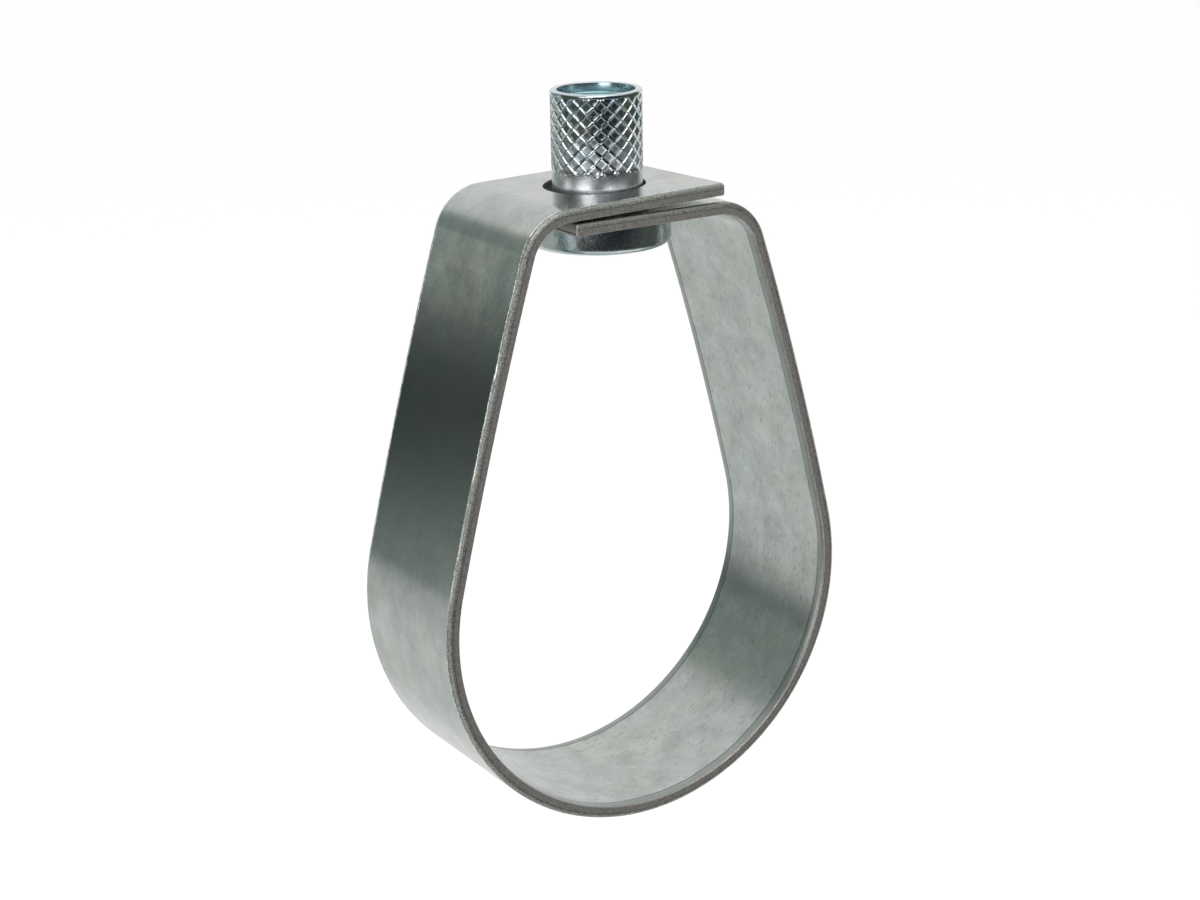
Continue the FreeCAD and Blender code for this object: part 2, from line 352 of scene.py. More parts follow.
# Band making. The section is swept along the folded path, then the two tab holes are punched
# through and the upper tab's end is cut a little out of square.
punch_sides = 96
punch_spare = 0.4 * MM
tree, given = shape_tree("fold_and_punch", [
    ("Section", "Object"),
    ("Hole radius", "Float"),
    ("Upper hole", "Vector"),
    ("Lower hole", "Vector"),
    ("Upper tilt", "Vector"),
    ("Punch length", "Float"),
    ("End cut", "Vector"),
    ("End slant", "Vector"),
    ("Cut size", "Float"),
    ("Finish", "Material"),
])
path = add(tree, "GeometryNodeMeshToCurve", {0: given.outputs["Geometry"]})
path = add(tree, "GeometryNodeSetCurveNormal", {0: path}, mode="FREE")
path.inputs["Normal"].default_value = (0, 1, 0)
section = add(tree, "GeometryNodeObjectInfo", {"Object": given.outputs["Section"]})
section = add(tree, "GeometryNodeMeshToCurve", {0: section.outputs["Geometry"]})
strip = add(tree, "GeometryNodeCurveToMesh", {0: path, "Profile Curve": section, "Fill Caps": True})
punch = add(tree, "GeometryNodeMeshCylinder", {
    "Vertices": punch_sides,
    "Radius": given.outputs["Hole radius"],
    "Depth": given.outputs["Punch length"],
})
upper = add(tree, "GeometryNodeTransform", {
    0: punch,
    "Translation": given.outputs["Upper hole"],
    "Rotation": given.outputs["Upper tilt"],
})
lower = add(tree, "GeometryNodeTransform", {0: punch, "Translation": given.outputs["Lower hole"]})
block = add(tree, "GeometryNodeMeshCube", {"Size": given.outputs["Cut size"]})
block = add(tree, "GeometryNodeTransform", {
    0: block,
    "Translation": given.outputs["End cut"],
    "Rotation": given.outputs["End slant"],
})
cutters = add(tree, "GeometryNodeJoinGeometry")
for cutter in (upper, lower, block):
    tree.links.new(cutter.outputs[0], cutters.inputs[0])
punched = add(tree, "GeometryNodeMeshBoolean", operation="DIFFERENCE", solver="EXACT")
tree.links.new(strip.outputs[0], punched.inputs["Mesh 1"])
tree.links.new(cutters.outputs[0], punched.inputs["Mesh 2"])
done = add(tree, "GeometryNodeRealizeInstances", {0: punched})
done = add(tree, "GeometryNodeSetMaterial", {0: done, "Material": given.outputs["Finish"]})
add(tree, "NodeGroupOutput", {0: done})

near_corner = Vector((upper_reach, -half_width, upper_tab_z))
cut_size = 3 * strip_width
cut_below_tab = strip_thickness / 8
corner_to_middle = Vector((cut_size / 2, 0, cut_size / 2 - cut_below_tab))
upper_hole_z = upper_tab_z + hole_shift * math.tan(upper_rise) + strip_thickness / 2
section_object = line_object("strip_section", section_points, True)
band_mesh = grow(line_object("strip_path", path_points, False), tree, {
    "Section": section_object,
    "Hole radius": hole_radius,
    "Upper hole": (hole_shift, 0, upper_hole_z),
    "Lower hole": (0, 0, lower_tab_z + strip_thickness / 2),
    "Upper tilt": (0, -upper_rise, 0),
    "Punch length": strip_thickness + punch_spare,
    "End cut": near_corner + Matrix.Rotation(end_slant, 3, "Z") @ corner_to_middle,
    "End slant": (0, 0, end_slant),
    "Cut size": cut_size,
    "Finish": galvanised,
})
bpy.data.objects.remove(section_object)

# Band edges. A file and the zinc soften the punched holes, and the sheared tab ends are a bit
# rounder. Each face and point is told where it lies, for the finish: inner face, cut face and depth.
hole_edge = 0.25 * MM
end_edge = 0.45 * MM
rounded_share = 0.6
hole_margin = 1.2 * MM
sharp_radians = 0.9
upright_slope = 0.3
merge_gap = 0.001 * MM
hair = 0.01 * MM
spot_gap = 0.1 * MM

# Where the tabs lie, the gap between them, and a point that all of the inner face looks towards
tabs_from_z = 64 * MM
tabs_within_x = 17 * MM
between_tabs_z = 68.5 * MM
under_lower_tab_z = 60 * MM
lower_tab_from_x = -14.5 * MM
loop_middle = Vector((0, 0, 15 * MM))


def is_cut(face):
    """Whether a face of the band is a tab's sheared end or a punched hole's wall."""
    middle = face.calc_center_median()
    on_tabs = middle.z > tabs_from_z and abs(middle.x) < tabs_within_x
    at_side = abs(middle.y) > half_width - hair
    return on_tabs and not at_side and abs(face.normal.z) < upright_slope


def line_finder(points):
    """A search tree of points set close together along the strip's inner line."""
    spots = []
    for one, other in zip(points, points[1:]):
        steps = math.ceil((other - one).length / spot_gap)
        spots += [one.lerp(other, step / steps) for step in range(steps)]
    spots.append(points[-1])
    finder = kdtree.KDTree(len(spots))
    for number, spot in enumerate(spots):
        finder.insert(spot, number)
    finder.balance()
    return finder


left_line = line_finder(path_points[:len(left_half)])
right_line = line_finder(path_points[len(left_half) - 1:])

work = bmesh.new()
work.from_mesh(band_mesh)
cut_layer = work.faces.layers.float.new("cut_face")
inner_layer = work.faces.layers.float.new("inner_face")
depth_layer = work.verts.layers.float.new("depth_mm")
bmesh.ops.remove_doubles(work, verts=work.verts, dist=merge_gap)
bmesh.ops.recalc_face_normals(work, faces=work.faces)
corners = [
    edge for edge in work.edges
    if len(edge.link_faces) == 2 and edge.calc_face_angle(0) > sharp_radians
]
at_holes = [edge for edge in corners if edge.verts[0].co.xy.length < hole_radius + hole_margin]
at_ends = [edge for edge in corners if edge not in at_holes]
bmesh.ops.bevel(work, geom=at_holes, offset=hole_edge, segments=3, profile=0.5, affect="EDGES")
rounded = bmesh.ops.bevel(work, geom=at_ends, offset=end_edge, segments=4, profile=0.5, affect="EDGES")
work.normal_update()
for face in rounded["faces"]:
    face[cut_layer] = rounded_share
for face in work.faces:
    face.smooth = True
    face.material_index = 0
    if is_cut(face):
        face[cut_layer] = 1.0
    face[inner_layer] = 1.0 if face.normal.dot(loop_middle - face.calc_center_median()) > 0 else 0.0
for vert in work.verts:
    low = vert.co.z < between_tabs_z
    on_lower_tab = low and vert.co.z > under_lower_tab_z and vert.co.x > lower_tab_from_x
    on_right = on_lower_tab or (low and vert.co.x > 0)
    line = right_line if on_right else left_line
    vert[depth_layer] = line.find((vert.co.x, 0, vert.co.z))[2] / MM
work.to_mesh(band_mesh)
work.free()
band_mesh.materials.clear()
band_mesh.materials.append(galvanised)
band = bpy.data.objects.new("ring_band_folded", band_mesh)
bpy.context.scene.collection.objects.link(band)
band.modifiers.new("even_shading", "WEIGHTED_NORMAL").keep_sharp = True
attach(band, "band")
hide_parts("ring_band")

# Nut finish. Bright zinc plating with a clear blue passivate over cold-formed steel: a glossy, cool
# silver with faint blue clouds, bluer inside the mouth and darkened there as painted shade, lighter on
# the neck and lower sleeve as painted light, and lightly rippled on the flange. Its sizes are given as
# the strip's are, and then come the heights and the radius at which the finish changes.
cloud_size = 10 * MM / 2.4
fine_size = 10 * MM / 26
ripple_size = 10 * MM / 9
inside_radius = 6.6 * MM
inside_blur = 0.1 * MM
flange_end_z = 66.25 * MM
flange_blur = 0.25 * MM
neck_end_z = 73.7 * MM
neck_blur = 0.5 * MM
knurl_foot_z = 74.3 * MM
lower_light_full_z = 73.0 * MM
lower_light_end_z = 78.5 * MM
low_pads_from_z = 77.8 * MM
low_pads_to_z = 80.5 * MM

plated = bpy.data.materials.new("bright_zinc_blue_passivate")
plated.use_nodes = True
tree = plated.node_tree
tree.nodes.clear()
place = add(tree, "ShaderNodeTexCoord").outputs["Object"]
cloud = add(tree, "ShaderNodeTexNoise", {"Vector": place, "Scale": 1 / cloud_size, "Detail": 3.0})
fine = add(tree, "ShaderNodeTexNoise", {"Vector": place, "Scale": 1 / fine_size, "Detail": 2.0})
tint = add(tree, "ShaderNodeMapRange", {0: cloud, 1: 0.35, 2: 0.65, 3: 0.0, 4: 1.0})
zinc = {0: tint, 6: hex_colour("C2D3DA"), 7: hex_colour("DDE3E2")}
zinc = add(tree, "ShaderNodeMix", zinc, data_type="RGBA")
spread = add(tree, "ShaderNodeVectorMath", {0: place, 1: (1.0, 1.0, 0.0)}, operation="MULTIPLY")
spread = add(tree, "ShaderNodeVectorMath", {0: spread}, operation="LENGTH").outputs["Value"]
inside = {0: spread, 1: inside_radius - inside_blur, 2: inside_radius + inside_blur, 3: 1.0, 4: 0.0}
inside = add(tree, "ShaderNodeMapRange", inside)
# Painted shade: inside the mouth the colour is darker as well as bluer
zinc = {0: inside, 6: zinc.outputs[2], 7: hex_colour("8FB4BA")}
zinc = add(tree, "ShaderNodeMix", zinc, data_type="RGBA")
rough = add(tree, "ShaderNodeMapRange", {0: fine, 1: 0.3, 2: 0.7, 3: 0.10, 4: 0.22})
up = add(tree, "ShaderNodeSeparateXYZ", {0: place}).outputs["Z"]
# Painted light: the neck and lower sleeve are coloured lighter, for the lit tab that they mirror
on_neck = add(tree, "ShaderNodeMapRange", {0: up, 1: lower_light_full_z, 2: lower_light_end_z, 3: 1.0, 4: 0.0})
off_flange = {0: up, 1: flange_end_z - flange_blur, 2: flange_end_z + flange_blur, 3: 0.0, 4: 1.0}
off_flange = add(tree, "ShaderNodeMapRange", off_flange)
painted_lower_light = add(tree, "ShaderNodeMath", {0: on_neck, 1: off_flange}, operation="MULTIPLY")
zinc = {0: painted_lower_light, 6: zinc.outputs[2], 7: hex_colour("EAEDF2")}
zinc = add(tree, "ShaderNodeMix", zinc, data_type="RGBA")

# Roughness: duller in the middles of the lowest pads, on the flange, inside, and on the plain neck
low_pads = add(tree, "ShaderNodeMapRange", {0: up, 1: low_pads_from_z, 2: low_pads_to_z, 3: 1.0, 4: 0.0})
middle = add(tree, "ShaderNodeAttribute", attribute_name="pad_middle").outputs["Fac"]
above_foot = {0: up, 1: knurl_foot_z - neck_blur, 2: knurl_foot_z + neck_blur, 3: 0.0, 4: 1.0}
above_foot = add(tree, "ShaderNodeMapRange", above_foot)
low_pads = add(tree, "ShaderNodeMath", {0: low_pads, 1: above_foot}, operation="MULTIPLY")
dull = add(tree, "ShaderNodeMath", {0: low_pads, 1: middle}, operation="MULTIPLY")
rough = add(tree, "ShaderNodeMath", {0: dull, 1: 0.34, 2: rough}, operation="MULTIPLY_ADD")
on_flange = add(tree, "ShaderNodeMath", {0: 1.0, 1: off_flange}, operation="SUBTRACT")
rough = add(tree, "ShaderNodeMath", {0: on_flange, 1: 0.08, 2: rough}, operation="MULTIPLY_ADD")
under_knurl = {0: up, 1: neck_end_z - neck_blur, 2: neck_end_z + neck_blur, 3: 1.0, 4: 0.0}
under_knurl = add(tree, "ShaderNodeMapRange", under_knurl)
neck = add(tree, "ShaderNodeMath", {0: under_knurl, 1: off_flange}, operation="MULTIPLY")
rough = add(tree, "ShaderNodeMath", {0: inside, 1: 0.15, 2: rough}, operation="MULTIPLY_ADD")
rough = add(tree, "ShaderNodeMath", {0: neck, 1: 0.16, 2: rough}, operation="MULTIPLY_ADD")

# Height in millimetres: a trace of grain all over, and ripples that only the flange shows plainly
ripple = add(tree, "ShaderNodeTexNoise", {"Vector": place, "Scale": 1 / ripple_size, "Detail": 0.0})
height = add(tree, "ShaderNodeMath", {0: fine, 1: 0.0012}, operation="MULTIPLY")
rippled = add(tree, "ShaderNodeMath", {0: on_flange, 1: 0.048, 2: 0.004}, operation="MULTIPLY_ADD")
ripple = add(tree, "ShaderNodeMath", {0: ripple, 1: rippled}, operation="MULTIPLY")
height = add(tree, "ShaderNodeMath", {0: height, 1: ripple}, operation="ADD")
bump = add(tree, "ShaderNodeBump", {"Strength": 1.0, "Distance": MM, "Height": height})
surface = add(tree, "ShaderNodeBsdfPrincipled", {
    "Base Color": zinc.outputs[2],
    "Metallic": 1.0,
    "Roughness": rough,
    "Normal": bump,
})
add(tree, "ShaderNodeOutputMaterial", {"Surface": surface})

# Knurl. Two sets of slanting V-grooves rolled into the nut's sleeve leave small four-sided pads,
# whose middles sink a little below their pushed-up edges. Each half pad is one repeated patch.
sleeve_radius = 7.8025 * MM
neck_radius = 7.6825 * MM
land_radius = sleeve_radius - 0.05 * MM
line_radius = sleeve_radius - 0.17 * MM
nut_top_z = 87.07 * MM
nut_bottom_z = 61.05 * MM
knurl_top_z = 86.32 * MM
knurl_end_z = 73.3 * MM
knurl_fade = 1.3 * MM
knurl_wander = 3.5 * MM
wander_size = sleeve_radius / 22
wander_seed = 4.0
top_row_height = 0.05 * MM
knurl_starts = 20
knurl_rows = 12
knurl_row_height = 1.2 * MM
groove_depth = 0.2 * MM
pad_dish = 0.11 * MM
pad_width = 2 * math.pi * sleeve_radius / knurl_starts
pad_lines = (0.0, 0.1, 0.27, 0.42, 0.58, 0.73, 0.9, 1.0)
pad_parts = len(pad_lines) - 1
pad_heights = (-groove_depth, 0.0, -pad_dish, -pad_dish)
weld = 0.002 * MM

# The upper half of a pad. a counts its slanting lines away from the upper left groove, and b towards
# the upper right one.
patch = bmesh.new()
patch_verts = {}
middle_layer = patch.verts.layers.float.new("pad_middle")
for a in range(pad_parts + 1):
    for b in range(a, pad_parts + 1):
        inward = min(a, b, pad_parts - a, pad_parts - b)
        across = (pad_lines[a] + pad_lines[b]) / 2 - 0.5
        up = pad_lines[b] - pad_lines[a]
        point = (across * pad_width, -pad_heights[inward], up * knurl_row_height)
        patch_verts[a, b] = patch.verts.new(point)
        patch_verts[a, b][middle_layer] = 1.0 if inward > 1 else 0.0
for a in range(pad_parts):
    patch.faces.new([patch_verts[a, a], patch_verts[a + 1, a + 1], patch_verts[a, a + 1]])
    for b in range(a + 1, pad_parts):
        ring = ((a, b), (a + 1, b), (a + 1, b + 1), (a, b + 1))
        patch.faces.new([patch_verts[key] for key in ring])
patch_mesh = bpy.data.meshes.new("half_pad")
patch.to_mesh(patch_mesh)
patch.free()
half_pad = bpy.data.objects.new("half_pad", patch_mesh)
bpy.context.scene.collection.objects.link(half_pad)

tree, given = shape_tree("diamond_knurl", [
    ("Starts", "Int"),
    ("Rows", "Int"),
    ("Pad width", "Float"),
    ("Row height", "Float"),
    ("Top", "Float"),
    ("End", "Float"),
    ("Fade", "Float"),
    ("Wander", "Float"),
    ("Sleeve radius", "Float"),
    ("Land radius", "Float"),
    ("Line radius", "Float"),
    ("Neck radius", "Float"),
    ("Finish", "Material"),
])

# The half pads stand in staggered rows on a flat sheet, each point carrying one above and one below it
lines = add(tree, "ShaderNodeMath", {0: given.outputs["Rows"], 1: 1.0}, operation="ADD")
count = add(tree, "ShaderNodeMath", {0: given.outputs["Starts"], 1: lines}, operation="MULTIPLY")
number = add(tree, "GeometryNodeInputIndex")
start = add(tree, "ShaderNodeMath", {0: number, 1: lines}, operation="DIVIDE")
start = add(tree, "ShaderNodeMath", {0: start}, operation="FLOOR")
row = add(tree, "ShaderNodeMath", {0: number, 1: lines}, operation="MODULO")
odd = add(tree, "ShaderNodeMath", {0: row, 1: 2.0}, operation="MODULO")
step = add(tree, "ShaderNodeMath", {0: odd, 1: 0.5, 2: start}, operation="MULTIPLY_ADD")
x = add(tree, "ShaderNodeMath", {0: step, 1: given.outputs["Pad width"]}, operation="MULTIPLY")
down = add(tree, "ShaderNodeMath", {0: row, 1: given.outputs["Row height"]}, operation="MULTIPLY")
z = add(tree, "ShaderNodeMath", {0: given.outputs["Top"], 1: down}, operation="SUBTRACT")
spot = add(tree, "ShaderNodeCombineXYZ", {0: x, 2: z})
points = add(tree, "GeometryNodePoints", {"Count": count, "Position": spot})
not_first = add(tree, "ShaderNodeMath", {0: row, 1: 0.5}, operation="GREATER_THAN")
not_last = add(tree, "ShaderNodeMath", {0: row, 1: given.outputs["Rows"]}, operation="LESS_THAN")
halves = add(tree, "GeometryNodeJoinGeometry")
for chosen, turn in ((not_first, 0.0), (not_last, math.pi)):
    half = add(tree, "GeometryNodeInstanceOnPoints", {
        "Points": points,
        "Selection": chosen,
        "Instance": given.outputs["Geometry"],
    })
    half.inputs["Rotation"].default_value = (0, turn, 0)
    tree.links.new(half.outputs[0], halves.inputs[0])
flat = add(tree, "GeometryNodeRealizeInstances", {0: halves})
flat = add(tree, "GeometryNodeMergeByDistance", {0: flat, "Distance": weld})

# The sheet is rolled round the axis, and its lower end fades into the neck at an uneven height, from
# noise that is read round a circle of radius 1
where = add(tree, "ShaderNodeSeparateXYZ", {0: add(tree, "GeometryNodeInputPosition")})
angle = {0: where.outputs["X"], 1: given.outputs["Sleeve radius"]}
angle = add(tree, "ShaderNodeMath", angle, operation="DIVIDE")
cosine = add(tree, "ShaderNodeMath", {0: angle}, operation="COSINE")
sine = add(tree, "ShaderNodeMath", {0: angle}, operation="SINE")
unit = add(tree, "ShaderNodeCombineXYZ", {0: cosine, 1: sine})
wander = {"Vector": unit, "W": wander_seed, "Scale": sleeve_radius / wander_size, "Detail": 1.0}
wander = add(tree, "ShaderNodeTexNoise", wander, noise_dimensions="4D")
wander = add(tree, "ShaderNodeMath", {0: wander, 1: 0.5}, operation="SUBTRACT")
end = {0: wander, 1: given.outputs["Wander"], 2: given.outputs["End"]}
end = add(tree, "ShaderNodeMath", end, operation="MULTIPLY_ADD")
end_full = add(tree, "ShaderNodeMath", {0: end, 1: given.outputs["Fade"]}, operation="ADD")
risen = {0: where.outputs["Z"], 1: end, 2: end_full}
risen = add(tree, "ShaderNodeMapRange", risen, interpolation_type="SMOOTHSTEP")
outward = {0: given.outputs["Land radius"], 1: where.outputs["Y"]}
outward = add(tree, "ShaderNodeMath", outward, operation="SUBTRACT")
past_neck = add(tree, "ShaderNodeMix", {0: risen, 2: given.outputs["Neck radius"], 3: outward})
edge = add(tree, "ShaderNodeMath", {0: given.outputs["Top"], 1: top_row_height}, operation="SUBTRACT")
at_top = add(tree, "ShaderNodeMath", {0: where.outputs["Z"], 1: edge}, operation="GREATER_THAN")
radius = add(tree, "ShaderNodeMix", {0: at_top, 2: past_neck, 3: given.outputs["Line radius"]})
bent = add(tree, "ShaderNodeVectorMath", {0: unit, "Scale": radius}, operation="SCALE")
lifted = add(tree, "ShaderNodeCombineXYZ", {2: where.outputs["Z"]})
bent = add(tree, "ShaderNodeVectorMath", {0: bent, 1: lifted}, operation="ADD")
sleeve = add(tree, "GeometryNodeSetPosition", {0: flat, "Position": bent})
sleeve = add(tree, "GeometryNodeMergeByDistance", {0: sleeve, "Distance": weld})
sleeve = add(tree, "GeometryNodeSetMaterial", {0: sleeve, "Material": given.outputs["Finish"]})
add(tree, "NodeGroupOutput", {0: sleeve})
knurl_mesh = grow(half_pad, tree, {
    "Starts": knurl_starts,
    "Rows": knurl_rows,
    "Pad width": pad_width,
    "Row height": knurl_row_height,
    "Top": knurl_top_z,
    "End": knurl_end_z,
    "Fade": knurl_fade,
    "Wander": knurl_wander,
    "Sleeve radius": sleeve_radius,
    "Land radius": land_radius,
    "Line radius": line_radius,
    "Neck radius": neck_radius,
    "Finish": plated,
})

# Thread. The 3/8 inch rod thread, 16 turns to the inch, is tapped from the flange up to the mouth, with
# a lead-in cone at both ends. It is one helical sheet whose ends close on plain circles. Its flats are
# given as half their width, in pitches.
bore_radius = 3.9033 * MM
rod_radius = 4.7625 * MM
lead_in_radius = 4.8125 * MM
thread_pitch = 1.5875 * MM
half_minor_flat = 1 / 8
half_major_flat = 1 / 16
ledge_z = 85.27 * MM
ring_steps = knurl_starts * pad_parts
rows_per_turn = 8
thread_turns = 18
turns_below = 1.3

tree, given = shape_tree("internal_thread", [
    ("Steps", "Int"),
    ("Rows", "Int"),
    ("Rows per turn", "Int"),
    ("Pitch", "Float"),
    ("Minor radius", "Float"),
    ("Major radius", "Float"),
    ("Lead-in radius", "Float"),
    ("Bottom", "Float"),
    ("Top", "Float"),
    ("Finish", "Material"),
])
columns = add(tree, "ShaderNodeMath", {0: given.outputs["Steps"], 1: 1.0}, operation="ADD")
sheet = add(tree, "GeometryNodeMeshGrid", {"Vertices X": columns, "Vertices Y": given.outputs["Rows"]})
number = add(tree, "GeometryNodeInputIndex")
column = add(tree, "ShaderNodeMath", {0: number, 1: given.outputs["Rows"]}, operation="DIVIDE")
column = add(tree, "ShaderNodeMath", {0: column}, operation="FLOOR")
row = add(tree, "ShaderNodeMath", {0: number, 1: given.outputs["Rows"]}, operation="MODULO")
turns = add(tree, "ShaderNodeMath", {0: column, 1: given.outputs["Steps"]}, operation="DIVIDE")
half_step = add(tree, "ShaderNodeMath", {0: 0.5, 1: given.outputs["Steps"]}, operation="DIVIDE")
turned = add(tree, "ShaderNodeMath", {0: turns, 1: half_step}, operation="ADD")
angle = add(tree, "ShaderNodeMath", {0: turned, 1: 2 * math.pi}, operation="MULTIPLY")

# Each row climbs one pitch in a turn, and the turns that run past the nut's ends are pressed flat there
share = add(tree, "ShaderNodeMath", {0: row, 1: 0.5}, operation="ADD")
share = add(tree, "ShaderNodeMath", {0: share, 1: given.outputs["Rows per turn"]}, operation="DIVIDE")
climbed = add(tree, "ShaderNodeMath", {0: share, 1: turns}, operation="ADD")
started = add(tree, "ShaderNodeMath", {0: climbed, 1: turns_below}, operation="SUBTRACT")
z = {0: started, 1: given.outputs["Pitch"], 2: given.outputs["Bottom"]}
z = add(tree, "ShaderNodeMath", z, operation="MULTIPLY_ADD")
z = add(tree, "ShaderNodeClamp", {0: z, 1: given.outputs["Bottom"], 2: given.outputs["Top"]})
from_crest = add(tree, "ShaderNodeMath", {0: share, 1: 0.5}, operation="PINGPONG")
cut_in = add(tree, "ShaderNodeMapRange", {
    0: from_crest,
    1: half_minor_flat,
    2: 0.5 - half_major_flat,
    3: given.outputs["Minor radius"],
    4: given.outputs["Major radius"],
})
above = add(tree, "ShaderNodeMath", {0: z, 1: given.outputs["Bottom"]}, operation="SUBTRACT")
below = add(tree, "ShaderNodeMath", {0: given.outputs["Top"], 1: z}, operation="SUBTRACT")
nearest = add(tree, "ShaderNodeMath", {0: above, 1: below}, operation="MINIMUM")
cone = add(tree, "ShaderNodeMath", {0: given.outputs["Lead-in radius"], 1: nearest}, operation="SUBTRACT")
radius = add(tree, "ShaderNodeMath", {0: cut_in, 1: cone}, operation="MAXIMUM")
cosine = add(tree, "ShaderNodeMath", {0: angle}, operation="COSINE")
sine = add(tree, "ShaderNodeMath", {0: angle}, operation="SINE")
unit = add(tree, "ShaderNodeCombineXYZ", {0: cosine, 1: sine})
bent = add(tree, "ShaderNodeVectorMath", {0: unit, "Scale": radius}, operation="SCALE")
lifted = add(tree, "ShaderNodeCombineXYZ", {2: z})
bent = add(tree, "ShaderNodeVectorMath", {0: bent, 1: lifted}, operation="ADD")
thread = add(tree, "GeometryNodeSetPosition", {0: sheet, "Position": bent})
thread = add(tree, "GeometryNodeMergeByDistance", {0: thread, "Distance": weld})
thread = add(tree, "GeometryNodeRealizeInstances", {0: thread})
thread = add(tree, "GeometryNodeSetMaterial", {0: thread, "Material": given.outputs["Finish"]})
add(tree, "NodeGroupOutput", {0: thread})
carrier = line_object("thread_carrier", [Vector((0, 0, 0)), Vector((0, 0, MM))], False)
thread_mesh = grow(carrier, tree, {
    "Steps": ring_steps,
    "Rows": rows_per_turn * thread_turns,
    "Rows per turn": rows_per_turn,
    "Pitch": thread_pitch,
    "Minor radius": bore_radius,
    "Major radius": rod_radius,
    "Lead-in radius": lead_in_radius,
    "Bottom": nut_bottom_z,
    "Top": ledge_z,
    "Finish": plated,
})

# Swivel nut. One cold-formed steel piece: the knurled sleeve and plain neck stand up through the
# tabs, the round flange below carries them, and a wide mouth leads the rod into the thread.
flange_radius = 12.4025 * MM
mouth_radius = 6.6025 * MM
neck_fillet = 0.3 * MM
flange_top_round = 0.3 * MM
flange_low_round = 1.2 * MM
mouth_round = 0.2 * MM
rim_round = 0.4 * MM
rim_step_top = 0.16 * MM
rim_step_foot = 0.06 * MM
knurl_crease = math.radians(9)
plain_crease = math.radians(28)
nut_weld = 0.003 * MM


def rounding(radius, height, size, start, stop, steps):
    """Ring corners round a quarter circle, given by its centre, size and angles in degrees."""
    turns = [math.radians(start + (stop - start) * i / steps) for i in range(steps + 1)]
    return [(radius + size * math.cos(turn), height + size * math.sin(turn)) for turn in turns]


knurl_low_z = knurl_top_z - knurl_rows * knurl_row_height
top_round_z = lower_tab_z - flange_top_round
low_round_z = nut_bottom_z + flange_low_round
lower_rings = [(neck_radius, knurl_low_z)]
lower_rings += rounding(neck_radius + neck_fillet, lower_tab_z + neck_fillet, neck_fillet, 180, 270, 4)
lower_rings += rounding(flange_radius - flange_top_round, top_round_z, flange_top_round, 90, 0, 4)
lower_rings += rounding(flange_radius - flange_low_round, low_round_z, flange_low_round, 0, -90, 8)
lower_rings += [(lead_in_radius, nut_bottom_z)]
upper_rings = [(lead_in_radius, ledge_z)]
upper_rings += [(mouth_radius - mouth_round, ledge_z), (mouth_radius, ledge_z + mouth_round)]
upper_rings += rounding(mouth_radius + mouth_round, nut_top_z - mouth_round, mouth_round, 180, 90, 3)
upper_rings += rounding(sleeve_radius - rim_round, nut_top_z - rim_round, rim_round, 90, 0, 6)
upper_rings += [(sleeve_radius, knurl_top_z + rim_step_top), (line_radius, knurl_top_z + rim_step_foot)]
upper_rings += [(line_radius, knurl_top_z)]
even_turns = [2 * math.pi * (i + 0.5) / ring_steps for i in range(ring_steps)]
pad_turns = []
for start in range(knurl_starts):
    pad_turns += [2 * math.pi * (start + line - 0.5) / knurl_starts for line in pad_lines[:-1]]

work = bmesh.new()
work.from_mesh(knurl_mesh)
work.from_mesh(thread_mesh)
for rings in (lower_rings, upper_rings):
    loops = []
    for radius, height in rings:
        at_thread = radius == lead_in_radius
        loop = []
        for turn in even_turns if at_thread else pad_turns:
            loop.append(work.verts.new((radius * math.cos(turn), radius * math.sin(turn), height)))
        loops.append(loop)
    for one, other in zip(loops, loops[1:]):
        for i in range(ring_steps):
            work.faces.new([one[i - 1], one[i], other[i], other[i - 1]])
bmesh.ops.remove_doubles(work, verts=work.verts, dist=nut_weld)
bmesh.ops.dissolve_degenerate(work, edges=work.edges, dist=merge_gap)
bmesh.ops.recalc_face_normals(work, faces=work.faces)
for face in work.faces:
    face.smooth = True
for edge in work.edges:
    middle = (edge.verts[0].co + edge.verts[1].co) / 2
    in_knurl = knurl_low_z < middle.z < knurl_top_z - hair and middle.xy.length > mouth_radius
    edge.smooth = edge.calc_face_angle(0) < (knurl_crease if in_knurl else plain_crease)
nut_mesh = bpy.data.meshes.new("swivel_nut_knurled")
work.to_mesh(nut_mesh)
work.free()
nut_mesh.materials.append(plated)
nut = bpy.data.objects.new("swivel_nut_knurled", nut_mesh)
bpy.context.scene.collection.objects.link(nut)
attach(nut, "nut")
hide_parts("swivel_nut")

# Floor. A plain sheet of matt white paper, some way below the hanging part and hidden from its mirror
# finish, with a little light of its own so that it stays white.
floor_z = -0.4
floor_reach = 6
floor_corners = [(-1, -1), (1, -1), (1, 1), (-1, 1)]
floor_mesh = bpy.data.meshes.new("floor")
floor_points = [(x * floor_reach, y * floor_reach, floor_z) for x, y in floor_corners]
floor_mesh.from_pydata(floor_points, [], [(0, 1, 2, 3)])
floor = bpy.data.objects.new("floor", floor_mesh)
bpy.context.scene.collection.objects.link(floor)
floor.visible_glossy = False
paper = bpy.data.materials.new("matt_white_paper")
paper.use_nodes = True
coat = paper.node_tree.nodes["Principled BSDF"]
coat.inputs["Base Color"].default_value = hex_colour("F4F4F4")
coat.inputs["Roughness"].default_value = 0.9
coat.inputs["Emission Color"].default_value = (1, 1, 1, 1)
coat.inputs["Emission Strength"].default_value = 0.18
floor_mesh.materials.append(paper)

# Room. White to the camera, and for the metal to mirror a pale studio: its far wall has a dark band at
# eye level on the left, a grey patch above that and a light right side, and the near side, round the
# camera, is dark. Heights are the upward part of a direction, from -1 straight down to 1 straight up.
room_heights = (
    (-0.60, "E0E2E0"),
    (-0.42, "E6E8E6"),
    (-0.20, "C6C9C7"),
    (-0.12, "7A8584"),
    (-0.05, "222D2C"),
    (-0.01, "202B2A"),
    (0.038, "303B39"),
    (0.060, "CCD1CA"),
    (0.10, "C2C7C1"),
    (0.24, "A8ADAA"),
    (0.36, "D8DAD8"),
    (0.52, "EAEAEA"),
)
to_camera_side = (-0.259, -0.966, 0.0)
white = (1, 1, 1, 1)
fill_light = (0.9, 0.9, 0.9, 1)

